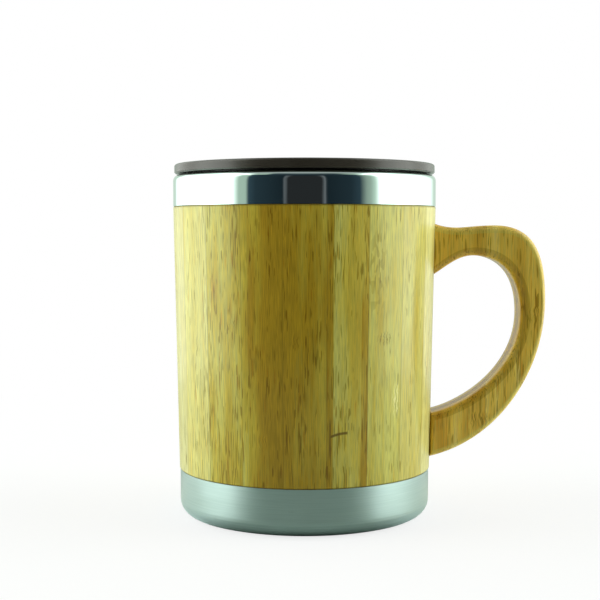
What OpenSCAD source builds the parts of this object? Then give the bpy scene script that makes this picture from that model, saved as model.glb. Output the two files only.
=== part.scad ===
// Bamboo travel mug with a steel liner, a laminated bamboo handle and a push-in slider lid.
// Millimetres, +Z up. The origin is the centre of the foot ring, on the table.
// The handle points along +X, and the drinking hole of the closed lid is at -X.

/* [Mug] */
// Outer diameter at the top of the bamboo and of the polished band
mug_d = 88; // [72:0.5:108]
// Height of the rim above the table, without the lid
mug_h = 113.6; // [104:0.2:140]
// How much narrower the bamboo is at its foot than at its top
sleeve_draw = 3.6; // [0:0.2:6]
// Thickness of the bamboo wall
sleeve_t = 4.2; // [3.4:0.1:5.4]
// Number of bamboo staves glued edge to edge round the sleeve
stave_count = 20; // [16:1:24]

/* [Steel] */
// Height of the polished band under the rim
band_h = 10.5; // [8:0.5:16]
// Radius of the shoulder at the top of the band
band_round = 2; // [1.6:0.1:3]
// Height of the satin base
base_h = 15.5; // [12:0.5:22]
// How far the base stands inside the foot of the bamboo
base_step = 0.2; // [0:0.1:1]
// Radius of the bottom corner of the base
base_round = 5; // [2:0.5:7]
// Depth of the recess inside the foot ring
foot_recess = 1; // [0.5:0.1:2]
// Width of the flat foot ring
foot_w = 6; // [3:0.5:10]
// Thickness of the steel in the band and the base
shell_t = 0.8; // [0.6:0.1:1]

/* [Liner] */
// Thickness of the drawn steel liner
liner_t = 0.5; // [0.4:0.1:0.8]
// Depth of the straight seat below the rim that the lid pushes into
seat_h = 12; // [10.5:0.5:16]
// How much narrower the liner is at its foot than at its mouth
liner_draw = 5; // [4:0.5:10]
// Inside radius of the corner at the foot of the liner
liner_round = 6; // [3:0.5:12]
// Radius of the rolled mouth of the liner
lip_round = 1.4; // [1:0.1:1.8]
// Height of the air gap between the base and the liner
floor_gap = 7.2; // [3:0.2:12]

/* [Handle] */
// How far the handle stands out from the top of the sleeve
handle_reach = 36.4; // [28:0.2:46]
// Height of the handle from its lower edge to its upper edge at the sleeve
handle_h = 77.8; // [62:0.2:80]
// Height of the handle's lower edge above the table, at the sleeve
handle_z = 19.4; // [17:0.1:24]
// Thickness of each of the handle's three plies
ply_t = 5; // [4.6:0.1:6.5]
// Radius of the handle's rounded edges
handle_round = 2.2; // [0.8:0.1:3]

/* [Screws] */
// Diameter of the wood screws that hold the handle
screw_d = 3.5; // [2.5:0.1:4]
// Diameter of the countersunk screw heads
screw_head_d = 7; // [5.5:0.1:8]
// Height of the countersunk part of the heads
screw_head_h = 1.8; // [1.4:0.1:2.2]
// Length of the upper screw
screw_upper_l = 20; // [14:0.5:26]
// Length of the lower screw
screw_lower_l = 15; // [12:0.5:17]

/* [Lid] */
// Thickness of the lid's flange
flange_t = 3.1; // [2.4:0.1:5]
// How far the flange's edge stands inside the edge of the band
flange_inset = 0.4; // [0:0.1:2]
// Radius of the flange's upper edge
flange_round = 0.8; // [0.4:0.1:1.6]
// Depth of the plug below the flange
plug_h = 8; // [7.4:0.1:9]
// Thickness of the plug's wall behind the seal
plug_t = 2.3; // [1.6:0.1:3]
// Thickness of the lid's sunken floor
floor_t = 2; // [1.6:0.1:2.4]
// Height of the groove that holds the seal
groove_h = 3.4; // [2.8:0.1:4]
// Depth of the groove that holds the seal
groove_depth = 1.6; // [1:0.1:2]

/* [Slider] */
// Width of the slider
slider_w = 20; // [18:0.5:26]
// Thickness of the slider's plate
slider_t = 2.4; // [1.8:0.1:3]
// Length of the drinking hole, across the slider
drink_l = 14; // [9:0.5:16]
// Width of the drinking hole, along the slider
drink_w = 7; // [5:0.5:8]
// Diameter of the vent hole
vent_d = 2.4; // [1.5:0.1:3.5]
// Length of the thumb ridge, across the slider
ridge_l = 14; // [8:0.5:17]

/* [Clearances] */
// Glue line between the bamboo, the steel and the handle
glue_gap = 0.05; // [0.02:0.01:0.1]
// Gap between the liner's seat and the bamboo
liner_gap = 0.3; // [0.1:0.1:0.6]
// Gap between the rim and the flange of the closed lid
lid_gap = 0.4; // [0.2:0.1:0.8]
// Gap between the plug and the liner
plug_gap = 0.7; // [0.5:0.1:1]
// Gap between the seal's lips and the liner
lip_gap = 0.2; // [0.1:0.05:0.3]
// Gap between the seal and its groove
seal_gap = 0.1; // [0.05:0.05:0.2]
// Gap between the slider and the lid
slide_gap = 0.25; // [0.15:0.05:0.4]

/* [Hidden] */
$fn = 96;
overrun = 1;
mug_r = mug_d / 2;
sleeve_top = mug_h - band_h;

// Outer and inner radius of the tapered bamboo sleeve at a height
function sleeve_r(z) = mug_r - sleeve_draw / 2 * (sleeve_top - z) / (sleeve_top - base_h);
function bore_r(z) = sleeve_r(z) - sleeve_t;

// Tenons at both ends of the staves, inside the band and the base
tenon_gap = 0.4;
tenon_chamfer = 0.5;
edge_ease = 0.3;
base_r = sleeve_r(base_h) - base_step;
low_tenon_r = base_r - shell_t - glue_gap;
low_tenon_z = base_round + tenon_gap;
high_tenon_r = mug_r - shell_t - glue_gap;
high_tenon_z = mug_h - band_round - tenon_gap;
stave_angle = 360 / stave_count;

// Liner and the joggled lip of the band that its rolled rim lies in
mouth_r = bore_r(sleeve_top) - liner_gap - liner_t;
liner_foot_r = mouth_r - liner_draw / 2;
liner_floor_z = foot_recess + shell_t + floor_gap + liner_t;
joggle_w = 0.2;
joggle_r = mug_r - band_round - joggle_w;
joggle_z = mug_h - liner_t - glue_gap;
foot_in_r = base_r - base_round - foot_w;
bend_shift = shell_t * tan(45 / 2);

// Handle outline: four-point curves in shares of the reach and of the height
outer_curve_shares = [
    [[0, 1], [0.167, 0.972], [0.329, 0.996], [0.534, 0.996]],
    [[0.534, 0.996], [0.931, 0.996], [1, 0.847], [1, 0.669]],
    [[1, 0.669], [1, 0.374], [0.593, 0.07], [-0.055, 0]]
];
inner_curve_shares = [
    [[0, 0.793], [0.109, 0.827], [0.209, 0.867], [0.335, 0.867]],
    [[0.335, 0.867], [0.466, 0.867], [0.771, 0.843], [0.771, 0.617]],
    [[0.771, 0.617], [0.771, 0.363], [0.237, 0.212], [-0.055, 0.188]]
];
outline_steps = 36;
round_steps = 5;
seat_tries = 4;
upper_screw_share = 0.93;
lower_screw_share = 0.135;
screw_tip_l = screw_d;
screw_sink = 0.3;
screw_gap = 0.05;

// Lid: heights of its faces and radii of its plug, groove and sunken dish
flange_z = mug_h + lid_gap;
lid_top_z = flange_z + flange_t;
plug_z = flange_z - plug_h;
floor_z = plug_z + floor_t;
flange_r = mug_r - flange_inset;
plug_r = mouth_r - plug_gap;
groove_r = plug_r - groove_depth;
dish_r = groove_r - plug_t;
groove_low_z = plug_z + (plug_h - groove_h) / 2;
plug_chamfer = 0.8;
flange_ease = 0.4;
dish_round = 1;
dish_draw = 0.5;
lip_t = 0.9;
lip_tip_t = 0.4;

// Slider: travel, and the places of the drinking hole, the slot and the legs along X
drink_edge = 2.4;
drink_x = -dish_r + drink_edge + drink_w / 2;
open_margin = 5;
travel = drink_w + open_margin;
end_r = dish_r - slide_gap;
rear_room = 6.9;
rear_x = dish_r - rear_room - travel;
leg_l = 8;
leg_t = 1.3;
leg_h = 1.6;
hook_w = 1.1;
slot_w = 5;
slot_cover = 3;
slot_end_x = rear_x - slot_cover;
slot_l = leg_l + travel + slide_gap * 2;
rail_w = 1.4;
rail_h = 1.8;
plate_z = floor_z + slide_gap;
ridge_top_z = lid_top_z - slide_gap;
ridge_foot_w = 7;
ridge_top_w = 3.6;
ridge_round = 1.2;
ridge_x = (rear_x - end_r) / 2;

function stave_name(i) = str("bamboo_stave_", i < 10 ? "0" : "", i);
STAVES = [for (i = [1:stave_count]) stave_name(i)];

// Points of an arc about a centre
function arc(centre, r, from, to, steps = 8) =
    [for (i = [0:steps]) let (a = from + (to - from) * i / steps) centre + r * [cos(a), sin(a)]];

// Drawn liner with a straight seat, a tapered wall, a rounded foot and a rolled mouth
module inner_cup() {
    foot = [liner_foot_r - liner_round, liner_floor_z + liner_round];
    lip = [mouth_r + lip_round, mug_h - lip_round];
    edge_r = joggle_r - glue_gap - liner_t / 2;
    color("silver") rotate_extrude() polygon(concat(
        [[0, liner_floor_z]],
        arc(foot, liner_round, -90, 0),
        [[mouth_r, mug_h - seat_h]],
        arc(lip, lip_round, 180, 90),
        arc([edge_r, mug_h - liner_t / 2], liner_t / 2, 90, -90, 6),
        arc(lip, lip_round - liner_t, 90, 180),
        [[mouth_r + liner_t, mug_h - seat_h]],
        arc(foot, liner_round + liner_t, 0, -90),
        [[0, liner_floor_z - liner_t]]
    ));
}

// Polished band over the top of the staves
module rim_band() {
    shoulder = [mug_r - band_round, mug_h - band_round];
    under_r = band_round - shell_t;
    under_angle = asin((band_round - liner_t - glue_gap - shell_t) / under_r);
    foot_z = sleeve_top + glue_gap;
    lip_in_r = mouth_r + lip_round + glue_gap;
    color("gainsboro") rotate_extrude() polygon(concat(
        [[mug_r - shell_t, foot_z], [mug_r, foot_z]],
        arc(shoulder, band_round, 0, 90),
        [[joggle_r, mug_h], [joggle_r, joggle_z], [lip_in_r, joggle_z]],
        [[lip_in_r, joggle_z - shell_t]],
        arc(shoulder, under_r, under_angle, 0)
    ));
}

// Satin base with a foot ring
module base_cap() {
    corner = [base_r - base_round, base_round];
    top_z = base_h - glue_gap;
    color("darkgray") rotate_extrude() polygon(concat(
        [[0, foot_recess], [foot_in_r - foot_recess, foot_recess], [foot_in_r, 0]],
        arc(corner, base_round, -90, 0),
        [[base_r, top_z], [base_r - shell_t, top_z]],
        arc(corner, base_round - shell_t, 0, -90),
        [[foot_in_r + bend_shift, shell_t]],
        [[foot_in_r - foot_recess + bend_shift, foot_recess + shell_t]],
        [[0, foot_recess + shell_t]]
    ));
}

// One stave of the sleeve, with a tenon at each end
module stave_blank() {
    rotate(-stave_angle / 2) rotate_extrude(angle = stave_angle) polygon([
        [bore_r(low_tenon_z), low_tenon_z],
        [low_tenon_r - tenon_chamfer, low_tenon_z],
        [low_tenon_r, low_tenon_z + tenon_chamfer],
        [low_tenon_r, base_h],
        [sleeve_r(base_h) - edge_ease, base_h],
        [sleeve_r(base_h + edge_ease), base_h + edge_ease],
        [sleeve_r(sleeve_top - edge_ease), sleeve_top - edge_ease],
        [mug_r - edge_ease, sleeve_top],
        [high_tenon_r, sleeve_top],
        [high_tenon_r, high_tenon_z - tenon_chamfer],
        [high_tenon_r - tenon_chamfer, high_tenon_z],
        [bore_r(high_tenon_z), high_tenon_z]
    ]);
}

// Stave number 1 is behind the handle and takes its screws from the inside
module bamboo_stave(number) {
    shade = number % 3 == 0 ? "darkkhaki" : number % 3 == 1 ? "burlywood" : "tan";
    color(shade) rotate((number - 1) * stave_angle) difference() {
        stave_blank();
        if (number == 1) at_screws() screw_hole($screw_l);
    }
}

// Places at the two screws, with the axis along +X from the bamboo's inner face
module at_screws() {
    for (screw = [[upper_screw_share, screw_upper_l], [lower_screw_share, screw_lower_l]]) {
        z = handle_z + handle_h * screw[0];
        $screw_l = screw[1];
        translate([bore_r(z) + screw_sink, 0, z]) rotate([0, 90, 0]) children();
    }
}

// Profile of a countersunk wood screw, grown by a gap for its hole
module screw_shape(length, gap) {
    head_r = screw_head_d / 2 + gap;
    shank_r = screw_d / 2 + gap;
    rotate_extrude() polygon([
        [0, 0],
        [head_r, 0],
        [shank_r, screw_head_h],
        [shank_r, length - screw_tip_l + gap],
        [0, length + gap]
    ]);
}

module screw_hole(length) {
    screw_shape(length, screw_gap);
    mirror([0, 0, 1]) cylinder(h = screw_sink + overrun, r = screw_head_d / 2 + screw_gap);
}

module handle_screws() {
    color("dimgray") at_screws() screw_shape($screw_l, 0);
}

// Point and direction on a four-point curve
function curve_point(c, t) =
    pow(1 - t, 3) * c[0] + 3 * pow(1 - t, 2) * t * c[1] + 3 * (1 - t) * t * t * c[2] + pow(t, 3) * c[3];
function curve_tangent(c, t) =
    let (d = pow(1 - t, 2) * (c[1] - c[0]) + 2 * (1 - t) * t * (c[2] - c[1]) + t * t * (c[3] - c[2]))
    d / norm(d);

// Shares of the handle turned into millimetres
function handle_curve(shares) =
    [for (p = shares) [mug_r + p[0] * handle_reach, handle_z + p[1] * handle_h]];

// Points and directions along a chain of curves, as many on every chain
function chain(curves) =
    let (steps = outline_steps / len(curves), last = len(curves) - 1)
    [for (k = [0:last]) for (i = [0:k == last ? steps : steps - 1])
        let (h = handle_curve(curves[k]), t = i / steps)
        [curve_point(h, t), curve_tangent(h, t)]];

// Distance from the mug's axis to the face that the handle is glued to
function root_x(z, y, deep) = sqrt(pow(sleeve_r(z) + glue_gap - deep, 2) - y * y);

// Slides the end of a curve along its own direction onto that face
function seated(p, d, y, deep, tries = seat_tries) =
    tries == 0 ? p
    : seated(p + d / d[0] * (root_x(p[1], y, deep) - p[0]), d, y, deep, tries - 1);

// One side of the handle, moved in by an inset. The upper end stays on the sleeve,
// and the rounding carries on round the lower end, which moves out by the inset too.
function side_points(curves, side, inset, y, deep) =
    let (points = chain(curves), last = len(points) - 1)
    [for (i = [0:last])
        let (d = points[i][1], p = points[i][0] + side * inset * [d[1], -d[0]])
        i == 0 ? seated(p, d, y, deep) : i == last ? seated(p, d, y, deep - inset) : p];

function reversed(list) = [for (i = [len(list) - 1:-1:0]) list[i]];

// Closed outline of the handle at a distance y from its middle plane
function handle_outline(inset, y, deep = 0) = concat(
    side_points(outer_curve_shares, 1, inset, y, deep),
    reversed(side_points(inner_curve_shares, -1, inset, y, deep))
);

// Middle ply: a plain board, coped to the sleeve and drilled for the screws
module handle_ply_core() {
    color("peru") difference() {
        rotate([90, 0, 0]) linear_extrude(height = ply_t, center = true)
            polygon(handle_outline(0, 0, sleeve_t / 2));
        cylinder(h = mug_h, r1 = sleeve_r(0) + glue_gap, r2 = sleeve_r(mug_h) + glue_gap);
        at_screws() screw_hole($screw_l);
    }
}

// Outer ply: straight from the glue face, then rounded over to its outer face
module rounded_ply() {
    outer_y = ply_t / 2 + ply_t;
    rings = concat(
        [[ply_t / 2, 0]],
        [for (i = [0:round_steps]) let (a = 90 * i / round_steps)
            [outer_y - handle_round * (1 - sin(a)), handle_round * (1 - cos(a))]]
    );
    outlines = [for (ring = rings) handle_outline(ring[1], ring[0])];
    count = len(outlines[0]);
    last = len(rings) - 1;
    points = [for (k = [0:last]) for (p = outlines[k]) [p[0], rings[k][0], p[1]]];
    sides = [for (k = [0:last - 1]) for (i = [0:count - 1])
        let (a = k * count + i, b = k * count + (i + 1) % count)
        for (face = [[a, b, b + count], [a, b + count, a + count]]) face];
    // Both flat faces are strips from the outer curve to the inner one
    strips = [for (i = [0:outline_steps - 1])
        let (a = i, b = i + 1, c = count - 2 - i, d = count - 1 - i, far = last * count)
        for (face = [[a, c, b], [a, d, c], [a + far, b + far, c + far], [a + far, c + far, d + far]]) face];
    polyhedron(points = points, faces = concat(sides, strips));
}

module handle_ply_back() {
    color("burlywood") rounded_ply();
}

module handle_ply_front() {
    color("sienna") mirror([0, 1, 0]) rounded_ply();
}

// Turned form of the lid: flange, plug with the seal's groove, and sunken dish
module lid_blank() {
    rotate_extrude() polygon(concat(
        [[0, plug_z], [plug_r - plug_chamfer, plug_z], [plug_r, plug_z + plug_chamfer]],
        [[plug_r, groove_low_z], [groove_r, groove_low_z]],
        [[groove_r, groove_low_z + groove_h], [plug_r, groove_low_z + groove_h]],
        [[plug_r, flange_z], [flange_r - flange_ease, flange_z], [flange_r, flange_z + flange_ease]],
        arc([flange_r - flange_round, lid_top_z - flange_round], flange_round, 0, 90),
        arc([dish_r + dish_draw + dish_round, lid_top_z - dish_round], dish_round, 90, 180),
        [[dish_r, floor_z], [0, floor_z]]
    ));
}

// Hole with round ends, long across the slider
module drink_hole() {
    end_y = (drink_l - drink_w) / 2;
    translate([drink_x, 0, plug_z - overrun]) linear_extrude(height = floor_t + overrun * 2) {
        for (side = [-1, 1]) translate([0, side * end_y]) circle(d = drink_w);
        square([drink_w, end_y * 2], center = true);
    }
}

// Guide rails beside the slider, running into the wall of the dish
module rails() {
    rail_l = dish_r * 2 + overrun * 2;
    rail_y = slider_w / 2 + slide_gap;
    intersection() {
        for (side = [0, 1]) mirror([0, side, 0])
            translate([-rail_l / 2, rail_y, floor_z - overrun]) cube([rail_l, rail_w, rail_h + overrun]);
        translate([0, 0, plug_z]) cylinder(h = plug_h, r = dish_r + overrun);
    }
}

module lid_body() {
    slot_start_x = slot_end_x - slot_l;
    color("saddlebrown") difference() {
        union() {
            lid_blank();
            rails();
        }
        drink_hole();
        translate([slot_start_x, -slot_w / 2, plug_z - overrun])
            cube([slot_l, slot_w, floor_t + overrun * 2]);
        translate([dish_r - rear_room / 2, 0, plug_z - overrun])
            cylinder(h = floor_t + overrun * 2, d = vent_d);
    }
}

// Silicone ring with two lips that face the liner
module lid_seal() {
    in_r = groove_r + seal_gap;
    face_r = plug_r - seal_gap;
    lip_r = mouth_r - lip_gap;
    low_z = groove_low_z + seal_gap;
    high_z = groove_low_z + groove_h - seal_gap;
    lip_rise = (lip_t - lip_tip_t) / 2;
    color("lightgray") rotate_extrude() polygon([
        [in_r, low_z],
        [face_r, low_z],
        [lip_r, low_z + lip_rise],
        [lip_r, low_z + lip_rise + lip_tip_t],
        [face_r, low_z + lip_t],
        [face_r, high_z - lip_t],
        [lip_r, high_z - lip_rise - lip_tip_t],
        [lip_r, high_z - lip_rise],
        [face_r, high_z],
        [in_r, high_z]
    ]);
}

// Thumb ridge with sloping sides and a rounded top
module ridge() {
    low = ridge_foot_w / 2;
    high = ridge_top_w / 2 - ridge_round;
    height = ridge_top_z - plate_z;
    straight_l = ridge_l - ridge_foot_w;
    translate([ridge_x, 0, plate_z]) intersection() {
        rotate([90, 0, 0]) linear_extrude(height = ridge_l, center = true) polygon(concat(
            [[-low, 0], [low, 0], [low, slider_t]],
            arc([high, height - ridge_round], ridge_round, 0, 90),
            arc([-high, height - ridge_round], ridge_round, 90, 180),
            [[-low, slider_t]]
        ));
        linear_extrude(height = height) {
            square([ridge_foot_w, straight_l], center = true);
            for (side = [-1, 1]) translate([0, side * straight_l / 2]) circle(d = ridge_foot_w);
        }
    }
}

// Slider with snap legs that run in the lid's slot
module lid_slider() {
    leg_x = slot_end_x - slide_gap - travel - leg_l;
    leg_y = slot_w / 2 - slide_gap;
    hook_z = plug_z - slide_gap;
    color("saddlebrown") {
        translate([0, 0, plate_z]) linear_extrude(height = slider_t) intersection() {
            circle(r = end_r);
            translate([rear_x - end_r, 0]) circle(r = end_r);
            square([end_r * 2, slider_w], center = true);
        }
        ridge();
        for (side = [0, 1]) mirror([0, side, 0]) translate([leg_x + leg_l, 0, 0])
            rotate([90, 0, -90]) linear_extrude(height = leg_l) polygon([
                [leg_y - leg_t, hook_z - leg_h],
                [leg_y, hook_z - leg_h],
                [leg_y + hook_w, hook_z],
                [leg_y, hook_z],
                [leg_y, plate_z + slider_t / 2],
                [leg_y - leg_t, plate_z + slider_t / 2]
            ]);
    }
}

inner_cup();
rim_band();
base_cap();
for (i = [1:stave_count]) {
    bamboo_stave(i);
}
handle_ply_front();
handle_ply_core();
handle_ply_back();
handle_screws();
lid_body();
lid_seal();
lid_slider();
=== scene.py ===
"""Looks of the lidded bamboo mug: camera, studio, materials and finer handle plies.

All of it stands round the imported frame, with +Z up. Blender's objects, and values made with MM, are
in metres. Other lengths are in millimetres and angles in degrees, unless a comment says otherwise.
"""
import math
import random

import bmesh
import bpy
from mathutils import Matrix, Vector


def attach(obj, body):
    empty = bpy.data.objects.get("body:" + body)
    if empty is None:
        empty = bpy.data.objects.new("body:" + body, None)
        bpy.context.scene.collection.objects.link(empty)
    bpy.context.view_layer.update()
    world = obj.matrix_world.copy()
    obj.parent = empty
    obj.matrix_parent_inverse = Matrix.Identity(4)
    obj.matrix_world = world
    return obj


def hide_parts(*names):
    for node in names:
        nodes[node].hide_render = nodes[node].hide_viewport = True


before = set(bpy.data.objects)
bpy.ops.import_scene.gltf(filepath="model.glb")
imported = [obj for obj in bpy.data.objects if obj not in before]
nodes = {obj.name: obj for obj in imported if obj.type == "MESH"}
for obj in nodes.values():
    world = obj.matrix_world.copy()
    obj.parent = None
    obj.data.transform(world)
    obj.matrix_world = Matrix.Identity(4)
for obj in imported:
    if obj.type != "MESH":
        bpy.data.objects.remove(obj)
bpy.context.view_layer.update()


def srgb(red, green, blue):
    """A colour of 0 to 255 as the linear colour that a shader takes."""
    def linear(value):
        value /= 255
        return value / 12.92 if value <= 0.04045 else ((value + 0.055) / 1.055) ** 2.4
    return (linear(red), linear(green), linear(blue), 1.0)


def tinted(colour, tone):
    """A colour times a tone, which makes it lighter above 1 and darker below."""
    return [part * tone for part in colour[:3]] + [1]


MM = 0.001
WHITE = (1, 1, 1, 1)
# Blender's noise runs round this
NOISE_MEAN = 0.5

# Camera, fitted to the curves of the rim, the seams and the base in the photograph. Tilt in radians
CAMERA_BACK = 419 * MM
CAMERA_HEIGHT = 94.3 * MM
CAMERA_TILT = 0.054
FRAME_PIXELS = 600
FOCAL_PIXELS = 1239.3
MUG_AXIS_PIXEL = 304.4
SENSOR = 36

# Studio: the level at each angle round the mug from the camera's side, to the left below zero. The
# ramp that holds them has room for 32 stops, and takes them divided by the scale, so that its
# colours stay below 1
STUDIO = [
    (-153, 0.8), (-147, 1.6), (-114, 1.8), (-101, 3.3), (-90, 3.6), (-67, 3.0), (-63.5, 1.8),
    (-61.4, 1.25), (-58, 0.62), (-50.8, 0.6), (-48.3, 0.09), (-42, 0.05), (-18, 0.026),
    (-16.4, 0.19), (-14.6, 0.026), (14.6, 0.026), (16.8, 0.19), (18.5, 0.026), (40, 0.04),
    (48, 0.07), (54, 0.4), (58, 0.5), (62, 0.8), (64, 1.1), (66, 1.6), (69, 2.9), (90, 3.5),
    (103, 3.4), (114, 1.8), (142, 1.5), (154, 0.8),
]
STUDIO_SCALE = 5
# Tints by level: the tents, their grey edges, the dark room, and its middle up to an angle
TENT_ABOVE_LEVEL = 1
TENT_TINT = (0.94, 1.0, 0.95)
GREY_ABOVE_LEVEL = 0.3
GREY_TINT = (0.85, 1.0, 0.88)
DARK_TINT = (0.5, 0.82, 1.12)
DARK_MIDDLE_TURN = 17
DARK_MIDDLE_TINT = (1.0, 0.97, 1.1)
# Overhead the studio turns to one grey, from an angle on and over a fade
TOP_LEVEL = 0.45
TOP_ANGLE = 50
TOP_FADE = 12
# The dark room and the frame in it are rounded rectangles: how far they reach to the sides against
# how far they reach up, and the power that rounds them
ROOM_SHAPE = 0.85
ROOM_POWER = 4.0

# Floor, in metres. The mug sees it pale at its sides, and darker with painted shade towards the
# camera and behind, with a change between two angles from the camera's side
FLOOR_R = 0.36
FLOOR_SEGMENTS = 96
FLOOR_PALE = srgb(236, 241, 239)
FLOOR_PAINTED_SHADE = srgb(151, 161, 153)
FLOOR_TURNS = (30, 65)
FLOOR_BEHIND_PAINTED_SHADE = srgb(172, 177, 174)
FLOOR_BACK_TURNS = (105, 145)
# What the camera sees fades from a faint shadow near the mug to white
FLOOR_SHOWN = srgb(248, 248, 248)
SHADOW_SHARE = 0.22
SHADOW_START = 0.12
SHADOW_END = 0.33

# Bamboo: the colours of its wood, and tints that multiply them
BAMBOO_WHITE = srgb(232, 224, 152)
BAMBOO_PALE = srgb(222, 213, 108)
BAMBOO_GOLD = srgb(210, 186, 62)
BAMBOO_BROWN = srgb(182, 145, 34)
SCAR_BROWN = srgb(112, 84, 26)
GLUE_BROWN = srgb(108, 84, 26)
STROKE_TINT = (0.5, 0.43, 0.16, 1.0)
RUST_TINT = (0.85, 0.62, 0.3, 1.0)
HANDLE_HUE = (1.12, 1.0, 1.6)
BAMBOO_SPECULAR = 0.05
# Grain: the size of its spots across, into and along the wood
PATCH_SIZES = (4, 4, 45)
BUNDLE_SIZES = (0.9, 0.9, 15)
FIBRE_SIZES = (0.26, 0.26, 6.5)
STROKE_SIZES = (0.35, 0.35, 6)
RUST_SIZES = (0.6, 0.6, 9)
CLUSTER_SIZES = (2.6, 2.6, 20)
# How far apart in the noise one piece of bamboo is cut from the next
SEED_SHIFT = 37.0
# How much each kind of grain adds to the shade, and the shades of the three colours
PATCH_SHADE = 1.1
BUNDLE_SHADE = 0.55
FIBRE_SHADE = 0.3
PALE_SHADE = 0.05
GOLD_SHADE = 0.5
BROWN_SHADE = 1.0
# Brightness: the mean, and how much the grain adds
MEAN_LIGHT = 1.04
FIBRE_LIGHT = 1.1
BUNDLE_LIGHT = 0.3
# Dark strokes and rusty spots: how much a cluster brings them out, their edges in the noise and how
# strong they are
CLUSTER_PULL = 0.55
STROKE_EDGES = (0.15, 0.22)
STROKE_DEPTH = 0.85
RUST_EDGES = (0.22, 0.32)
RUST_DEPTH = 0.7
# Relief, and roughness as its mean and what the bundles add
FIBRE_RELIEF = 0.02
STROKE_RELIEF = -0.01
BAMBOO_ROUGHNESS = 0.5
BUNDLE_ROUGHNESS = 0.3

# An oval patch fades in between these, by the square of the distance in shares of its half sizes
PATCH_EDGES = (1.0, 0.1)
# Where a node of the cane bends the fibres: the S in radians from the middle of its patch to the
# edge, and how far it swings
BEND_TURN = 3.0
BEND_SWING = 0.4
# Row of short marks there: radians per millimetre, their edges, and the noise that shifts them
MARK_PITCH = 5.2
MARK_EDGES = (0.0, 0.8)
MARK_NOISE = 9.0
MARK_NOISE_SIZES = (1.6, 1.6, 1.0)
PALE_MARK_TONE = 1.25

# Staves. The angle from one to the next is in radians
STAVE_COUNT = sum(1 for name in nodes if name.startswith("bamboo_stave_"))
STAVE_ANGLE = math.tau / STAVE_COUNT
SLEEVE_MEAN_R = 43.0
SLEEVE_FOOT = 15.5
SLEEVE_TOP = 103.1
# Dark seams at the sides of a stave, across from its middle, and dark ends, in from the sleeve's
SEAM_FROM = 6.45
SEAM_TO = 6.75
SEAM_DEPTH = 0.35
FOOT_EDGE = 0.7
TOP_EDGE = 0.9
END_DEPTH = 0.6
# Staves that the photograph shows: tone, whiteness, density of the fibres at the left and right
# edge, and dark strokes. The whiteness is painted sheen on the staves at the sides of the view,
# 12, 13, 19 and 20, and the wood's own paler tone on the others
STAVE_TONES = {
    # Stave 12's low tone is partly painted shade, which darkens the left edge of the view
    12: (0.86, 0.9, 0.2, 0.2, 0.1),
    13: (0.98, 0.5, 0.2, 0.2, 0.3),
    14: (0.95, 0.0, 0.18, 0.55, 0.72),
    15: (0.95, 0.0, 0.62, 1.2, 0.32),
    16: (1.02, 0.1, 1.08, 0.87, 0.42),
    17: (0.99, 0.15, 0.28, 0.62, 0.5),
    18: (0.94, 0.0, 0.15, 0.2, 0.25),
    19: (0.93, 0.3, 0.22, 0.2, 0.15),
    20: (1.02, 0.75, 0.2, 0.25, 0.2),
}
# The ranges that the same values of the other staves are drawn from
TONE_RANGES = ((0.97, 1.05), (0.0, 0.4), (0.2, 0.8), (0.2, 0.8), (0.2, 0.8))
# What the value for dark strokes is counted from, and how much it brings them out
STROKES_MEAN = 0.5
STROKES_SHIFT = 0.2
# Nodes of the cane: across and up the stave, half width, half height and darkness, below zero for
# pale marks. A stave that isn't named here draws one from the ranges, and an empty list is none
STAVE_NODES = {
    12: [(0.5, 57, 1.6, 3, 0.5)],
    13: [(1.5, 59, 2, 3, 0.2)],
    17: [],
    18: [(-0.6, 61.5, 3.6, 2.6, 0.9), (4.6, 42, 2.2, 6.5, -0.8)],
}
NODE_RANGES = ((-4, 4), (24, 92), (1.8, 3), (2.2, 3.6), (0.15, 0.5))
# Strips of another tone within a stave: from and to across it, below which height, and density
# added, with the fades at their sides and at their top
STAVE_STRIPS = {
    15: [(-6.9, -4.6, 120, -0.2)],
    16: [(-1.4, 6.9, 120, -0.12)],
    17: [(-6.9, -4.9, 120, 0.55), (4.3, 6.9, 70, 0.35)],
}
STRIP_FADE = 0.25
STRIP_TOP_FADE = 12
# Soft flecks beside a node: across and up the stave, half width and half height
STAVE_FLECKS = {18: (-3.6, 82, 4.2, 19)}
FLECK_SIZES = (1.2, 3.2, 1.0)
FLECK_EDGES = (0.02, 0.1)
FLECK_DEPTH = 0.45
# Scars that a node leaves: across and up the stave, and half width
STAVE_SCARS = {17: (-2.8, 32.6, 3.1)}
# A scar's line climbs and bends down by so much in half its width. It fades towards its ends, in
# shares of that half width, and towards its edges
LINE_CLIMB = 0.6
LINE_BEND = -0.35
LINE_ENDS = (1.0, 0.8)
LINE_EDGES = (0.62, 0.2)
LINE_DEPTH = 0.85
# Its crack and its dashes: their middle and sides across, in shares of that half width, and their
# ends up and down from the line
CRACK_ACROSS = -0.92
CRACK_SIDES = (0.14, 0.04)
CRACK_ENDS = (6.5, 3.5)
CRACK_DEPTH = 0.8
DASHES_ACROSS = 0.95
DASHES_SIDES = (0.6, 0.4)
DASHES_UP = 2.0
DASHES_ENDS = (1.4, 0.9)
DASHES_PITCH = 6.0
DASHES_EDGES = (0.1, 0.9)
DASHES_DEPTH = 0.4
stave_draw = random.Random(7)

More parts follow.
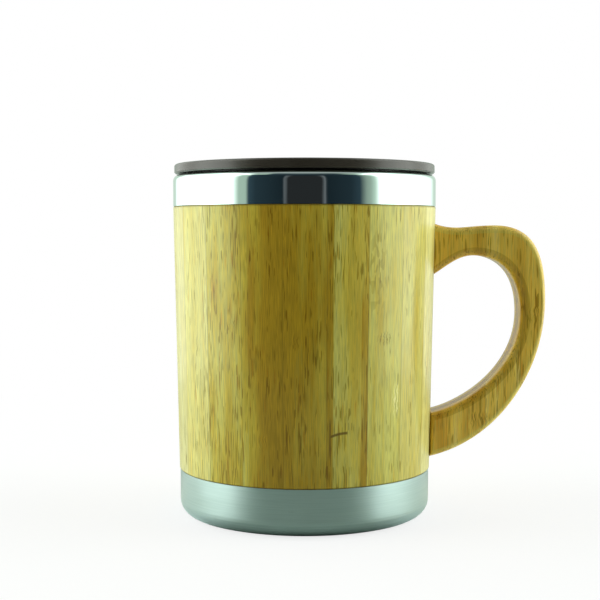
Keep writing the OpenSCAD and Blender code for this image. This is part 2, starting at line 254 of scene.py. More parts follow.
# Handle outline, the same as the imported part's: four-point curves in shares of reach and height
MUG_R = 44
SLEEVE_DRAW = 3.6
GLUE_GAP = 0.05
HANDLE_REACH = 36.4
HANDLE_H = 77.8
HANDLE_Z = 19.4
OUTER_CURVES = [
    [(0, 1), (0.167, 0.972), (0.329, 0.996), (0.534, 0.996)],
    [(0.534, 0.996), (0.931, 0.996), (1, 0.847), (1, 0.669)],
    [(1, 0.669), (1, 0.374), (0.593, 0.07), (-0.055, 0)],
]
INNER_CURVES = [
    [(0, 0.793), (0.109, 0.827), (0.209, 0.867), (0.335, 0.867)],
    [(0.335, 0.867), (0.466, 0.867), (0.771, 0.843), (0.771, 0.617)],
    [(0.771, 0.617), (0.771, 0.363), (0.237, 0.212), (-0.055, 0.188)],
]
CURVE_STEPS = 26
SIDE_STEPS = 3 * CURVE_STEPS
# How far both ends of a side run on into the sleeve before they are cut off there
RUN_ON = 6
PLY_T = 5
# Rounding of the outer plies' edges: its depth across the ply and its steps
ROUND_DEPTH = 2.2
ROUND_STEPS = 8
# How wide the rounding is at the start, at each joint of the curves and at the end
OUTER_ROUNDS = (2.1, 2.3, 1.5, 1.7)
INNER_ROUNDS = (2.0, 2.4, 2.9, 2.2)
# Crevice between the rounding and the sleeve at the lower root, and groove along the glued faces
CREVICE = 1.6
GROOVE = 0.1
# How far in a last ring holds the edge of the flat face
HOLD = 0.35
SHARP_ANGLE = 35

# Strips of the handle's boards: width, shift with each board's seed and place of the seam in shares
# of that width, spread of their density, and how far apart in the noise they are
STRIP_W = 5.8
STRIP_SEED_SHIFT = 0.37
STRIP_SEAM_EDGES = (0.47, 0.495)
STRIP_SEAM_DEPTH = 0.2
STRIP_SPREAD = 0.36
STRIP_SHIFT = 91.0
# Nodes of the cane on the handle: x, z, half width and half height
HANDLE_NODES = [(76.5, 67, 3.2, 3.4), (59, 32, 5.5, 3.2)]
HANDLE_NODE_DEPTH = 0.5
# Painted shade on the inner rounded edge and a painted highlight on the outer one, by the share of
# the rounding, which is below zero on the outer side
INNER_PAINTED_SHADE_EDGES = (0.0, 0.5)
INNER_PAINTED_SHADE_DEPTH = 0.45
OUTER_PAINTED_HIGHLIGHT_EDGES = (0.0, -0.6)
OUTER_PAINTED_HIGHLIGHT_DEPTH = 0.35

# Noise that mixes a dark tone with a pale one does so between these
CLOUD_EDGES = (-0.3, 0.3)

# Band: where it starts to turn in softly below its shoulder, and how much
SHOULDER_Z = 110.1
SHOULDER_BEND = 0.04
BAND_STEEL = srgb(210, 230, 222)
BAND_ROUGHNESS = 0.03
BAND_SMUDGE_EDGES = (0.02, 0.3)
BAND_SMUDGE_ROUGHNESS = 0.06
BAND_WAVE_RELIEF = 0.03
BAND_LINE_RELIEF = 0.0006

# Base
SATIN_DARK = srgb(180, 202, 199)
SATIN_PALE = srgb(196, 215, 212)
SATIN_ROUGHNESS = 0.31
SATIN_CLOUD_ROUGHNESS = 0.12
SATIN_LINE_ROUGHNESS = 0.08
SATIN_LINE_RELIEF = 0.0015

# Liner and screws
LINER_STEEL = srgb(214, 222, 222)
SCREW_STEEL = srgb(190, 190, 186)
TURNED_DARK_TONE = 0.93
TURNED_PALE_TONE = 1.05
TURNED_NOISE_ROUGHNESS = 0.1
TURNED_LINE_RELIEF = 0.003

# Lid and slider. A painted highlight makes the top edge paler over this much of the radius and this
# far below the top
LID_BROWN = srgb(62, 56, 48)
SLIDER_BROWN = srgb(63, 54, 44)
LID_R = 43.5
LID_TOP = 117.1
EDGE_HIGHLIGHT_R = 0.7
EDGE_HIGHLIGHT_BELOW = (1.2, 0.3)
EDGE_HIGHLIGHT_CLOUD_EDGES = (-0.15, 0.25)
EDGE_HIGHLIGHT_SHARE = 0.2
SCRATCH_SIZES = (9, 0.1, 2)
SCRATCH_EDGES = (0.22, 0.3)
SCRATCH_SHARE = 0.15
SCRATCH_RELIEF = -0.002
PLASTIC_DARK_TONE = 0.88
PLASTIC_PALE_TONE = 1.14
PLASTIC_MARK_TONE = 2.2
PLASTIC_NOISE_ROUGHNESS = 0.12
PLASTIC_GRAIN_RELIEF = 0.006

# Seal
SILICONE = srgb(204, 206, 200)
SILICONE_DARK_TONE = 0.93
SILICONE_PALE_TONE = 1.04
SILICONE_ROUGHNESS = 0.48
SILICONE_CLOUD_RELIEF = 0.03
DUST = srgb(150, 146, 138)
DUST_EDGES = (0.2, 0.3)
DUST_SHARE = 0.3
DUST_ROUGHNESS = 0.2


class Tree:
    """A shader node tree that is built step by step. Each step returns the socket that it makes."""

    def __init__(self, tree):
        self.nodes = tree.nodes
        self.links = tree.links

    def put(self, socket, value):
        if isinstance(value, bpy.types.NodeSocket):
            self.links.new(value, socket)
        else:
            socket.default_value = value

    def node(self, kind, inputs, output=0, **settings):
        made = self.nodes.new("ShaderNode" + kind)
        for key, value in settings.items():
            setattr(made, key, value)
        for key, value in inputs.items():
            self.put(made.inputs[key], value)
        return made.outputs[output]

    def math(self, operation, *values):
        return self.node("Math", dict(enumerate(values)), operation=operation)

    def add(self, a, b):
        return self.math("ADD", a, b)

    def times(self, a, b):
        return self.math("MULTIPLY", a, b)

    def minus(self, a, b):
        return self.add(a, self.times(b, -1.0))

    def size(self, value):
        return self.math("ABSOLUTE", value)

    def larger(self, a, b):
        return self.math("MAXIMUM", a, b)

    def step(self, value, low, high):
        """Rises smoothly from 0 at low to 1 at high, or falls where high is the smaller."""
        inputs = {"Value": value, "From Min": low, "From Max": high}
        return self.node("MapRange", inputs, interpolation_type="SMOOTHSTEP")

    def ramp(self, value, stops):
        """Colours by place from 0 to 1, each given as (place, colour)."""
        made = self.nodes.new("ShaderNodeValToRGB")
        self.put(made.inputs[0], value)
        marks = made.color_ramp.elements
        for mark, (place, colour) in zip(marks, (stops[0], stops[-1])):
            mark.position = place
            mark.color = colour
        for place, colour in stops[1:-1]:
            marks.new(place).color = colour
        return made.outputs[0]

    def vector(self, x, y, z):
        return self.node("CombineXYZ", {"X": x, "Y": y, "Z": z})

    def scaled(self, vector, factor):
        return self.node("VectorMath", {"Vector": vector, "Scale": factor}, operation="SCALE")

    def split(self, vector):
        made = self.nodes.new("ShaderNodeSeparateXYZ")
        self.put(made.inputs[0], vector)
        return made.outputs[0], made.outputs[1], made.outputs[2]

    def noise(self, place, sizes, detail=2.0, roughness=0.5):
        """Noise round 0 at a place, with spots of these sizes along x, y and z."""
        scaled = [self.times(part, 1 / size) for part, size in zip(place, sizes)]
        inputs = {
            "Vector": self.vector(*scaled), "Scale": 1.0, "Detail": detail, "Roughness": roughness}
        return self.add(self.node("TexNoise", inputs), -NOISE_MEAN)

    def mix(self, factor, a, b, blend="MIX"):
        """Mix of two colours, whose sockets on this node can be told apart only by number."""
        inputs = {0: factor, 6: a, 7: b}
        return self.node("Mix", inputs, output=2, data_type="RGBA", blend_type=blend)

    def darker(self, factor, colour, tint):
        return self.mix(factor, colour, self.mix(1.0, colour, tint, "MULTIPLY"))

    def cloudy(self, noise, dark, pale):
        return self.mix(self.step(noise, *CLOUD_EDGES), dark, pale)

    def far(self, x, y):
        """Distance from the axis."""
        return self.math("SQRT", self.add(self.times(x, x), self.times(y, y)))

    def turn(self, x, y):
        """Angle round the axis from the camera's side, to the left below zero."""
        return self.math("DEGREES", self.math("ARCTAN2", x, self.times(y, -1.0)))

    def seen_by_camera(self):
        return self.node("LightPath", {}, output="Is Camera Ray")

    def object_mm(self):
        """Place on the object, in millimetres."""
        return self.split(self.scaled(self.node("TexCoord", {}, output="Object"), 1 / MM))


class Paint(Tree):
    """A material with one principled shader."""

    def __init__(self, name, **values):
        self.material = bpy.data.materials.new(name)
        self.material.use_nodes = True
        super().__init__(self.material.node_tree)
        self.shader = self.nodes["Principled BSDF"]
        for key, value in values.items():
            self.set(key.replace("_", " ").title().replace("Ior", "IOR"), value)

    def set(self, key, value):
        self.put(self.shader.inputs[key], value)

    def bump(self, height_mm):
        """Relief of a height in millimetres."""
        inputs = {"Strength": 1.0, "Distance": MM, "Height": height_mm}
        self.set("Normal", self.node("Bump", inputs))


def add_object(name, data):
    made = bpy.data.objects.new(name, data)
    bpy.context.scene.collection.objects.link(made)
    return made


def make_camera():
    data = bpy.data.cameras.new("camera")
    data.sensor_width = SENSOR
    data.lens = FOCAL_PIXELS / FRAME_PIXELS * SENSOR
    camera = add_object("camera", data)
    aside = (FRAME_PIXELS / 2 - MUG_AXIS_PIXEL) / FOCAL_PIXELS * CAMERA_BACK
    camera.location = (aside, -CAMERA_BACK, CAMERA_HEIGHT)
    camera.rotation_euler = (math.pi / 2 - CAMERA_TILT, 0, 0)
    bpy.context.scene.camera = camera


def make_world():
    """White tents at both sides and dimmer towards the back, a dark room on the camera's side, grey
    overhead, and plain white for the camera itself."""
    world = bpy.data.worlds.new("studio")
    bpy.context.scene.world = world
    world.use_nodes = True
    tree = Tree(world.node_tree)
    x, y, z = tree.split(tree.node("TexCoord", {}, output="Generated"))
    turn = tree.turn(x, y)
    rise = tree.math("DEGREES", tree.math("ARCSINE", z))
    above = tree.math("POWER", tree.times(tree.larger(rise, 0.0), ROOM_SHAPE), ROOM_POWER)
    beside = tree.math("POWER", tree.size(turn), ROOM_POWER)
    aside = tree.math("POWER", tree.add(beside, above), 1 / ROOM_POWER)
    turn = tree.times(tree.math("SIGN", turn), aside)
    stops = []
    for angle, level in STUDIO:
        if level > TENT_ABOVE_LEVEL:
            tint = TENT_TINT
        elif level > GREY_ABOVE_LEVEL:
            tint = GREY_TINT
        else:
            tint = DARK_TINT if abs(angle) > DARK_MIDDLE_TURN else DARK_MIDDLE_TINT
        stops.append((angle / 360 + 0.5, [part * level / STUDIO_SCALE for part in tint] + [1]))
    around = tree.ramp(tree.add(tree.times(turn, 1 / 360), 0.5), stops)
    around = tree.scaled(around, STUDIO_SCALE)
    overhead = tree.step(rise, TOP_ANGLE, TOP_ANGLE + TOP_FADE)
    light = tree.mix(overhead, around, (TOP_LEVEL,) * 3 + (1,))
    light = tree.mix(tree.seen_by_camera(), light, WHITE)
    tree.put(world.node_tree.nodes["Background"].inputs["Color"], light)


def make_floor():
    """Pale floor, with painted shade towards the camera and behind. The camera sees it as white with
    a faint shadow round the mug."""
    mesh = bmesh.new()
    bmesh.ops.create_circle(mesh, cap_ends=True, radius=FLOOR_R, segments=FLOOR_SEGMENTS)
    data = bpy.data.meshes.new("floor")
    mesh.to_mesh(data)
    mesh.free()
    floor = add_object("floor", data)
    paint = Paint("pale_floor", roughness=0.9)
    seen = paint.seen_by_camera()
    x, y, _ = paint.split(paint.node("TexCoord", {}, output="Object"))
    turn = paint.size(paint.turn(x, y))
    # Painted shade: the colour darkens towards the camera and behind
    shaded_colour = paint.mix(paint.step(turn, *FLOOR_TURNS), FLOOR_PAINTED_SHADE, FLOOR_PALE)
    shaded_colour = paint.mix(paint.step(turn, *FLOOR_BACK_TURNS), shaded_colour, FLOOR_BEHIND_PAINTED_SHADE)
    paint.set("Base Color", paint.mix(seen, shaded_colour, FLOOR_SHOWN))
    shadow = paint.times(paint.step(paint.far(x, y), SHADOW_END, SHADOW_START), SHADOW_SHARE)
    plain = paint.times(seen, paint.math("SUBTRACT", 1.0, shadow))
    white = paint.node("Emission", {"Color": WHITE, "Strength": 1.0})
    shown = paint.node("MixShader", {0: plain, 1: paint.shader.outputs[0], 2: white})
    paint.put(paint.nodes["Material Output"].inputs["Surface"], shown)
    data.materials.append(paint.material)


def patch_mask(paint, across, along, middle, height, half_width, half_height):
    """1 in the middle of an oval patch and 0 outside it, and how far a place is above the patch's
    middle, in shares of its half height."""
    u = paint.times(paint.add(across, -middle), 1 / half_width)
    v = paint.times(paint.add(along, -height), 1 / half_height)
    return paint.step(paint.add(paint.times(u, u), paint.times(v, v)), *PATCH_EDGES), v


def bent(paint, across, along, place):
    """Fibres that a node of the cane bends to an S, and the row of short marks that it leaves."""
    middle, height, half_width, half_height = place
    near, v = patch_mask(paint, across, along, middle, height, half_width, half_height)
    swing = paint.times(paint.math("SINE", paint.times(v, BEND_TURN)), BEND_SWING)
    wave = paint.times(paint.noise((across, along, middle), MARK_NOISE_SIZES), MARK_NOISE)
    row = paint.math("SINE", paint.add(paint.times(across, MARK_PITCH), wave))
    waved = paint.add(across, paint.times(near, swing))
    return waved, paint.times(near, paint.step(row, *MARK_EDGES))


def fibres(paint, across, along, depth, seed, density, strokes, tone, whiteness_and_sheen=0.0):
    """Bamboo's colour, relief and bundles: fine fibres along one way, thin dark strokes and rusty
    spots in clusters, and pale wood between. Places are in millimetres."""
    place = (paint.add(across, seed * SEED_SHIFT), depth, along)
    patch = paint.noise(place, PATCH_SIZES, detail=1.0)
    bundle = paint.noise(place, BUNDLE_SIZES, detail=2.0)
    fibre = paint.noise(place, FIBRE_SIZES, detail=1.0, roughness=0.6)
    stroke = paint.noise(place, STROKE_SIZES, detail=0.0)
    rust = paint.noise(place, RUST_SIZES, detail=0.0)
    cluster = paint.noise(place, CLUSTER_SIZES, detail=1.0)
    coarse = paint.add(paint.times(patch, PATCH_SHADE), paint.times(bundle, BUNDLE_SHADE))
    shade = paint.add(density, coarse)
    shade = paint.add(shade, paint.times(fibre, FIBRE_SHADE))
    # Lifted towards white: painted sheen at the sides of the view, the wood's own tone elsewhere
    pale, gold = (
        [a + (b - a) * share for a, b in zip(colour, BAMBOO_WHITE)]
        for colour, share in ((BAMBOO_PALE, whiteness_and_sheen), (BAMBOO_GOLD, whiteness_and_sheen / 2)))
    wood = ((PALE_SHADE, pale), (GOLD_SHADE, gold), (BROWN_SHADE, BAMBOO_BROWN))
    base = paint.ramp(shade, [(level, tinted(colour, tone)) for level, colour in wood])
    light = paint.add(paint.times(fibre, FIBRE_LIGHT), paint.times(bundle, BUNDLE_LIGHT))
    base = paint.scaled(base, paint.add(light, MEAN_LIGHT))
    reach = paint.add(paint.times(cluster, CLUSTER_PULL), strokes)
    dark = paint.step(paint.add(stroke, reach), *STROKE_EDGES)
    rusty = paint.step(paint.add(rust, reach), *RUST_EDGES)
    colour = paint.darker(paint.times(rusty, RUST_DEPTH), base, RUST_TINT)
    colour = paint.darker(paint.times(dark, STROKE_DEPTH), colour, STROKE_TINT)
    relief = paint.add(paint.times(fibre, FIBRE_RELIEF), paint.times(dark, STROKE_RELIEF))
    return colour, relief, bundle


def finish_bamboo(paint, colour, glue, bundle, relief):
    """Sets the colour with its glue lines, the roughness and the relief."""
    paint.set("Base Color", paint.mix(glue, colour, GLUE_BROWN))
    rough = paint.add(paint.times(bundle, BUNDLE_ROUGHNESS), BAMBOO_ROUGHNESS)
    paint.set("Roughness", rough)
    paint.bump(relief)
    return paint.material


def scar(paint, colour, across, along, place):
    """The dark line that a node leaves across part of a stave, with a crack beside it and short
    dashes above."""
    middle, height, half_width = place
    u = paint.times(paint.add(across, -middle), 1 / half_width)
    bend = paint.add(paint.times(u, LINE_CLIMB), paint.times(paint.times(u, u), LINE_BEND))
    v = paint.minus(paint.add(along, -height), bend)
    line = paint.times(
        paint.step(paint.size(u), *LINE_ENDS),
        paint.step(paint.size(v), *LINE_EDGES))
    crack = paint.times(
        paint.step(paint.size(paint.add(u, -CRACK_ACROSS)), *CRACK_SIDES),
        paint.step(paint.size(v), *CRACK_ENDS))
    dashes = paint.times(
        paint.step(paint.size(paint.add(u, -DASHES_ACROSS)), *DASHES_SIDES),
        paint.step(paint.size(paint.add(v, -DASHES_UP)), *DASHES_ENDS))
    row = paint.math("SINE", paint.times(across, DASHES_PITCH))
    dashes = paint.times(dashes, paint.step(row, *DASHES_EDGES))
    marks = paint.larger(
        paint.times(line, LINE_DEPTH),
        paint.larger(paint.times(crack, CRACK_DEPTH), paint.times(dashes, DASHES_DEPTH)))
    return paint.mix(marks, colour, SCAR_BROWN)


def stave_paint(number):
    """Bamboo of one stave. Its middle is at its own angle round the mug."""
    paint = Paint(
        f"bamboo_{number:02d}",
        specular_ior_level=BAMBOO_SPECULAR, coat_weight=0.6, coat_roughness=0.2)
    x, y, z = paint.object_mm()
    middle = (number - 1) * STAVE_ANGLE
    cos, sin = math.cos(middle), math.sin(middle)
    turned_x = paint.add(paint.times(x, cos), paint.times(y, sin))
    turned_y = paint.add(paint.times(y, cos), paint.times(x, -sin))
    across = paint.times(paint.math("ARCTAN2", turned_y, turned_x), SLEEVE_MEAN_R)
    seam = paint.times(paint.step(paint.size(across), SEAM_FROM, SEAM_TO), SEAM_DEPTH)
    foot = paint.step(z, SLEEVE_FOOT + FOOT_EDGE, SLEEVE_FOOT)
    top = paint.step(z, SLEEVE_TOP - TOP_EDGE, SLEEVE_TOP)
    glue = paint.larger(seam, paint.times(paint.larger(foot, top), END_DEPTH))

    # Every stave draws all its values, so each stave's own don't depend on which others are named
    drawn_tones = [stave_draw.uniform(*ends) for ends in TONE_RANGES]
    tone, whiteness_and_sheen, left, right, strokes = STAVE_TONES.get(number, drawn_tones)
    slope = (right - left) / (2 * SEAM_TO)
    density = paint.add(paint.times(across, slope), (left + right) / 2)
    for start, end, height, added in STAVE_STRIPS.get(number, []):
        within = paint.times(
            paint.step(across, start, start + STRIP_FADE),
            paint.step(across, end + STRIP_FADE, end))
        within = paint.times(within, paint.step(z, height + STRIP_TOP_FADE, height))
        density = paint.add(density, paint.times(within, added))

    drawn_node = [stave_draw.uniform(*ends) for ends in NODE_RANGES]
    waved, dark_marks, pale_marks = across, 0.0, 0.0
    for *place, darkness in STAVE_NODES.get(number, [drawn_node]):
        waved, marks = bent(paint, waved, z, place)
        if darkness > 0:
            dark_marks = paint.larger(dark_marks, paint.times(marks, darkness))
        else:
            pale_marks = paint.larger(pale_marks, paint.times(marks, -darkness))
    strokes = (strokes - STROKES_MEAN) * STROKES_SHIFT
    colour, relief, bundle = fibres(
        paint, waved, z, paint.far(x, y), number, density, strokes, tone, whiteness_and_sheen)
    colour = paint.darker(dark_marks, colour, STROKE_TINT)
    colour = paint.mix(pale_marks, colour, tinted(BAMBOO_WHITE, PALE_MARK_TONE))
    if number in STAVE_FLECKS:
        near, _ = patch_mask(paint, across, z, *STAVE_FLECKS[number])
        fleck = paint.step(paint.noise((across, z, 0.0), FLECK_SIZES, detail=0.0), *FLECK_EDGES)
        fleck = paint.times(paint.times(near, fleck), FLECK_DEPTH)
        colour = paint.darker(fleck, colour, STROKE_TINT)
    if number in STAVE_SCARS:
        colour = scar(paint, colour, across, z, STAVE_SCARS[number])
    return finish_bamboo(paint, colour, glue, bundle, relief)


def board_paint(name, seed, density, tone, strokes=0.0):
    """Bamboo board of the handle: upright strips side by side, with painted shade along the inner
    edge and a painted highlight along the outer one."""
    paint = Paint(
        name, specular_ior_level=BAMBOO_SPECULAR, coat_weight=0.7, coat_roughness=0.2)
    x, y, z = paint.object_mm()
    place = paint.add(paint.times(x, 1 / STRIP_W), seed * STRIP_SEED_SHIFT)
    whole = paint.math("FLOOR", place)
    drawn = paint.node("TexWhiteNoise", {"W": whole}, noise_dimensions="1D")
    edge = paint.size(paint.add(paint.math("FRACT", place), -0.5))
    glue = paint.times(paint.step(edge, *STRIP_SEAM_EDGES), STRIP_SEAM_DEPTH)
    density = paint.add(paint.times(drawn, STRIP_SPREAD), density - STRIP_SPREAD / 2)
    waved, marks = paint.add(x, paint.times(drawn, STRIP_SHIFT)), 0.0
    for node in HANDLE_NODES:
        bent_x, mark = bent(paint, x, z, node)
        waved = paint.add(waved, paint.minus(bent_x, x))
        marks = paint.larger(marks, mark)
    colour, relief, bundle = fibres(paint, waved, z, y, seed, density, strokes, tone)
    colour = paint.node("VectorMath", {0: colour, 1: HANDLE_HUE}, operation="MULTIPLY")
    colour = paint.darker(paint.times(marks, HANDLE_NODE_DEPTH), colour, STROKE_TINT)
    rounding = paint.node("Attribute", {}, output="Fac", attribute_name="rounding")
    # Painted shade darkens the inner rounding, and a painted highlight makes the outer one paler
    mark_share = paint.times(paint.step(rounding, *INNER_PAINTED_SHADE_EDGES), INNER_PAINTED_SHADE_DEPTH)
    colour = paint.darker(mark_share, colour, STROKE_TINT)
    mark_share = paint.times(paint.step(rounding, *OUTER_PAINTED_HIGHLIGHT_EDGES), OUTER_PAINTED_HIGHLIGHT_DEPTH)
    colour = paint.mix(mark_share, colour, BAMBOO_PALE)
    return finish_bamboo(paint, colour, glue, bundle, relief)


def sleeve_r(z):
    """Outer radius of the tapered sleeve."""
    return MUG_R - SLEEVE_DRAW / 2 * (SLEEVE_TOP - z) / (SLEEVE_TOP - SLEEVE_FOOT)


def outside(point, y, clear):
    """How far a point of the handle stands clear of the face that it is glued to."""
    return point.x - math.sqrt((sleeve_r(point.y) + GLUE_GAP + clear) ** 2 - y * y)


def side_points(curves, side, rounds, y, share, groove):
    """Even points along one side of the handle at a distance y from its middle plane, cut off at
    the sleeve. In the points x is across and y is up."""
    points = []
    for number, curve in enumerate(curves):
        a, b, c, d = (
            Vector((MUG_R + p[0] * HANDLE_REACH, HANDLE_Z + p[1] * HANDLE_H)) for p in curve)
        for step in range(CURVE_STEPS + 1):
            t = step / CURVE_STEPS
            s = 1 - t
            point = a * s ** 3 + b * 3 * s * s * t + c * 3 * s * t * t + d * t ** 3
            run = ((b - a) * s * s + (c - b) * 2 * s * t + (d - c) * t * t).normalized()
            width = rounds[number] * (1 - t) + rounds[number + 1] * t
            inset = side * (width * share + groove)
            points.append(point + Vector((run.y, -run.x)) * inset)
    points.insert(0, points[0] * 2 - points[1] + (points[0] - points[1]).normalized() * RUN_ON)
    points.append(points[-1] + (points[-1] - points[-2]).normalized() * RUN_ON)
    half = len(points) // 2
    for clear, path in ((0, range(half, -1, -1)), (share * CREVICE, range(half, len(points)))):
        last = next(i for i in path if outside(points[i], y, clear) < 0)
        before = last - path.step
        gap_in, gap_out = outside(points[last], y, clear), outside(points[before], y, clear)
        points[last] = points[last].lerp(points[before], gap_in / (gap_in - gap_out))
        points = points[last:] if path.step < 0 else points[:last + 1]
        half = len(points) // 2
    return spread(points, SIDE_STEPS)


def spread(points, count):
    """The same run of points, spaced evenly."""
    places = [0]
    for a, b in zip(points, points[1:]):
        places.append(places[-1] + (b - a).length)
    made, i = [], 0
    for k in range(count + 1):
        goal = places[-1] * k / count
        while i < len(points) - 2 and places[i + 1] < goal:
            i += 1
        share = (goal - places[i]) / (places[i + 1] - places[i])
        made.append(points[i].lerp(points[i + 1], share))
    return made


def make_ply(name, rings, material):
    """One ply of the handle, lofted through rings given as distance y, share of the rounding and
    groove."""
    mesh = bmesh.new()
    layer = mesh.verts.layers.float.new("rounding")
    loops = []
    for y, share, groove in rings:
        outer = side_points(OUTER_CURVES, 1, OUTER_ROUNDS, abs(y), share, groove)
        inner = side_points(INNER_CURVES, -1, INNER_ROUNDS, abs(y), share, groove)
        loop = []
        for point, sign in [(p, -1) for p in outer] + [(p, 1) for p in reversed(inner)]:
            vertex = mesh.verts.new((point.x * MM, y * MM, point.y * MM))
            vertex[layer] = sign * (share if groove == 0 else 0)
            loop.append(vertex)
        loops.append(loop)
    count = len(loops[0])
    for low, high in zip(loops, loops[1:]):
        for i in range(count):
            j = (i + 1) % count
            mesh.faces.new((low[i], low[j], high[j], high[i]))
    for loop in (loops[0], loops[-1]):
        for i in range(count // 2 - 1):
            mesh.faces.new((loop[i], loop[i + 1], loop[count - 2 - i], loop[count - 1 - i]))
    bmesh.ops.recalc_face_normals(mesh, faces=mesh.faces)
    for face in mesh.faces:
        face.smooth = True
    data = bpy.data.meshes.new(name)
    mesh.to_mesh(data)
    mesh.free()
    data.set_sharp_from_angle(angle=math.radians(SHARP_ANGLE))
    data.materials.append(material)
    piece = add_object(name, data)
    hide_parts(name.replace("_board", ""))
    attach(piece, "mug")


def make_handle():
    """The three plies as smooth boards: a plain core and two outer plies with rounded edges."""
    half, outer_y = PLY_T / 2, PLY_T * 1.5
    core = [
        (-half, 0, GROOVE), (GROOVE - half, 0, 0), (0, 0, 0),
        (half - GROOVE, 0, 0), (half, 0, GROOVE)]
    back = [(half, 0, GROOVE), (half + GROOVE, 0, 0)]
    for step in range(ROUND_STEPS + 1):
        turn = math.pi / 2 * step / ROUND_STEPS
        back.append((outer_y - ROUND_DEPTH * (1 - math.sin(turn)), 1 - math.cos(turn), 0))
    back.append((outer_y, 1, HOLD))
    front = [(-y, share, groove) for y, share, groove in back]
    # The front ply's higher tone is partly painted light, lifting the face turned to the camera's
    # side
    front_paint = board_paint("ply_front", seed=61, density=0.62, tone=1.3)
    make_ply("handle_ply_front_board", front, front_paint)
    core_paint = board_paint("ply_core", seed=62, density=1.05, tone=1.0, strokes=0.05)
    make_ply("handle_ply_core_board", core, core_paint)
    back_paint = board_paint("ply_back", seed=63, density=0.5, tone=1.05)
    make_ply("handle_ply_back_board", back, back_paint)


def steel_paint(name, **values):
    """Steel, with the place on it and the place for lines that run round the axis."""
    paint = Paint(name, metallic=1.0, **values)
    x, y, z = paint.object_mm()
    along = paint.minus(z, paint.far(x, y))
    return paint, (x, y, z), (x, y, along)


def polished_paint():
    """Band: close to a mirror, with slight waves from drawing, and wiping marks."""
    paint, place, turned = steel_paint("polished_steel", base_color=BAND_STEEL)
    wave = paint.noise(place, sizes=(7, 7, 9), detail=1.0)
    above = paint.larger(paint.add(place[2], -SHOULDER_Z), 0.0)
    shoulder = paint.times(paint.times(above, above), -SHOULDER_BEND)
    line = paint.noise(turned, sizes=(26, 26, 0.16), detail=2.0)
    smudge = paint.noise(place, sizes=(5, 5, 3.5), detail=3.0)
    smudge = paint.times(paint.step(smudge, *BAND_SMUDGE_EDGES), BAND_SMUDGE_ROUGHNESS)
    paint.set("Roughness", paint.add(smudge, BAND_ROUGHNESS))
    fine = paint.add(paint.times(wave, BAND_WAVE_RELIEF), paint.times(line, BAND_LINE_RELIEF))
    paint.bump(paint.add(shoulder, fine))
    return paint.material


def satin_paint():
    """Base: brushed round and round, so lights spread up and down."""
    paint, place, turned = steel_paint("satin_steel", anisotropic=0.67, anisotropic_rotation=0.25)
    line = paint.noise(turned, sizes=(22, 22, 0.22), detail=3.0, roughness=0.7)
    cloud = paint.noise(place, sizes=(9, 9, 3), detail=3.0)
    paint.set("Tangent", paint.node("Tangent", {}, direction_type="RADIAL", axis="Z"))
    paint.set("Base Color", paint.cloudy(line, SATIN_DARK, SATIN_PALE))
    rough = paint.add(
        paint.times(cloud, SATIN_CLOUD_ROUGHNESS), paint.times(line, SATIN_LINE_ROUGHNESS))
    paint.set("Roughness", paint.add(rough, SATIN_ROUGHNESS))
    paint.bump(paint.times(line, SATIN_LINE_RELIEF))
    return paint.material


def turned_paint(name, colour, roughness, pitch):
    """Turned steel inside the mug and on the screws."""
    paint, place, turned = steel_paint(name)
    line = paint.noise(turned, sizes=(18, 18, pitch), detail=2.0)
    cloud = paint.noise(place, sizes=(8, 8, 8), detail=3.0)
    dark, pale = tinted(colour, TURNED_DARK_TONE), tinted(colour, TURNED_PALE_TONE)
    paint.set("Base Color", paint.cloudy(cloud, dark, pale))
    rough = paint.add(
        paint.times(cloud, TURNED_NOISE_ROUGHNESS), paint.times(line, TURNED_NOISE_ROUGHNESS))
    paint.set("Roughness", paint.add(rough, roughness))
    paint.bump(paint.times(line, TURNED_LINE_RELIEF))
    return paint.material


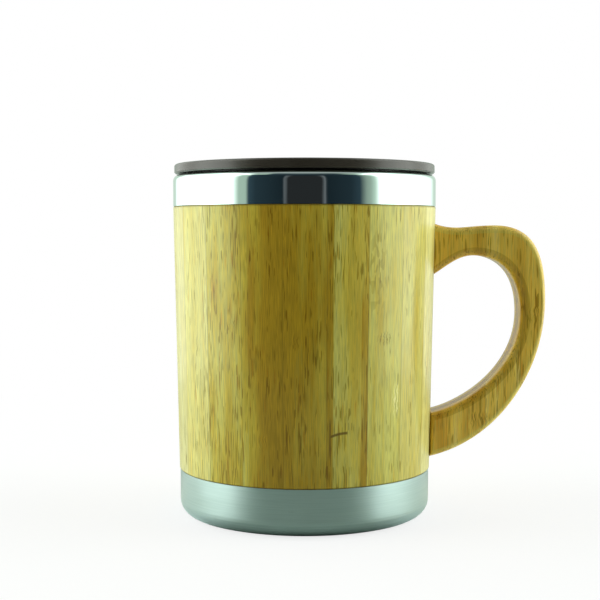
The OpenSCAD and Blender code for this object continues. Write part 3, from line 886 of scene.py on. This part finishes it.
def plastic_paint(name, colour, roughness):
    """Moulded plastic with a fine grain, faint flow clouds, hairline scratches, and a painted
    highlight that makes the top edge paler in patches."""
    paint = Paint(name, specular_ior_level=0.5)
    x, y, z = place = paint.object_mm()
    grain = paint.noise(place, sizes=(0.3, 0.3, 0.3), detail=2.0)
    cloud = paint.noise(place, sizes=(8, 8, 5), detail=3.0)
    scratch = paint.noise((paint.add(x, y), paint.minus(x, y), z), SCRATCH_SIZES, detail=1.0)
    scratched = paint.step(scratch, *SCRATCH_EDGES)
    # Painted highlight along the top edge, in patches
    edge_highlight = paint.times(
        paint.step(paint.far(x, y), LID_R - EDGE_HIGHLIGHT_R, LID_R),
        paint.step(z, LID_TOP - EDGE_HIGHLIGHT_BELOW[0], LID_TOP - EDGE_HIGHLIGHT_BELOW[1]))
    edge_highlight = paint.times(edge_highlight, paint.step(cloud, *EDGE_HIGHLIGHT_CLOUD_EDGES))
    dark, pale = tinted(colour, PLASTIC_DARK_TONE), tinted(colour, PLASTIC_PALE_TONE)
    base = paint.cloudy(cloud, dark, pale)
    # Scratches and the painted highlight both mix the colour towards a paler tone
    mark_share = paint.larger(paint.times(scratched, SCRATCH_SHARE), paint.times(edge_highlight, EDGE_HIGHLIGHT_SHARE))
    paint.set("Base Color", paint.mix(mark_share, base, tinted(colour, PLASTIC_MARK_TONE)))
    rough = paint.larger(scratched, paint.add(cloud, NOISE_MEAN))
    rough = paint.times(rough, PLASTIC_NOISE_ROUGHNESS)
    paint.set("Roughness", paint.add(rough, roughness - PLASTIC_NOISE_ROUGHNESS / 2))
    paint.bump(paint.add(
        paint.times(grain, PLASTIC_GRAIN_RELIEF), paint.times(scratched, SCRATCH_RELIEF)))
    return paint.material


def rubber_paint():
    """Silicone: milky, soft in its shine, with dust in the surface."""
    paint = Paint("seal_silicone", subsurface_weight=0.2, subsurface_scale=2 * MM)
    place = paint.object_mm()
    cloud = paint.noise(place, sizes=(5, 5, 2), detail=2.0)
    dust = paint.step(paint.noise(place, sizes=(0.35, 0.35, 0.35), detail=1.0), *DUST_EDGES)
    dark, pale = tinted(SILICONE, SILICONE_DARK_TONE), tinted(SILICONE, SILICONE_PALE_TONE)
    base = paint.cloudy(cloud, dark, pale)
    paint.set("Base Color", paint.mix(paint.times(dust, DUST_SHARE), base, DUST))
    rough = paint.add(paint.times(dust, DUST_ROUGHNESS), SILICONE_ROUGHNESS)
    paint.set("Roughness", rough)
    paint.bump(paint.times(cloud, SILICONE_CLOUD_RELIEF))
    return paint.material


def assign(name, material):
    data = nodes[name].data
    data.materials.clear()
    data.materials.append(material)


def main():
    bpy.context.scene.view_settings.view_transform = "Standard"
    make_camera()
    make_world()
    make_floor()
    for number in range(1, STAVE_COUNT + 1):
        assign(f"bamboo_stave_{number:02d}", stave_paint(number))
    make_handle()
    assign("rim_band", polished_paint())
    assign("base_cap", satin_paint())
    assign("inner_cup", turned_paint("liner_steel", LINER_STEEL, roughness=0.27, pitch=0.5))
    assign("handle_screws", turned_paint("screw_steel", SCREW_STEEL, roughness=0.3, pitch=0.3))
    assign("lid_body", plastic_paint("lid_brown", LID_BROWN, roughness=0.22))
    assign("lid_slider", plastic_paint("slider_brown", SLIDER_BROWN, roughness=0.3))
    assign("lid_seal", rubber_paint())


main()
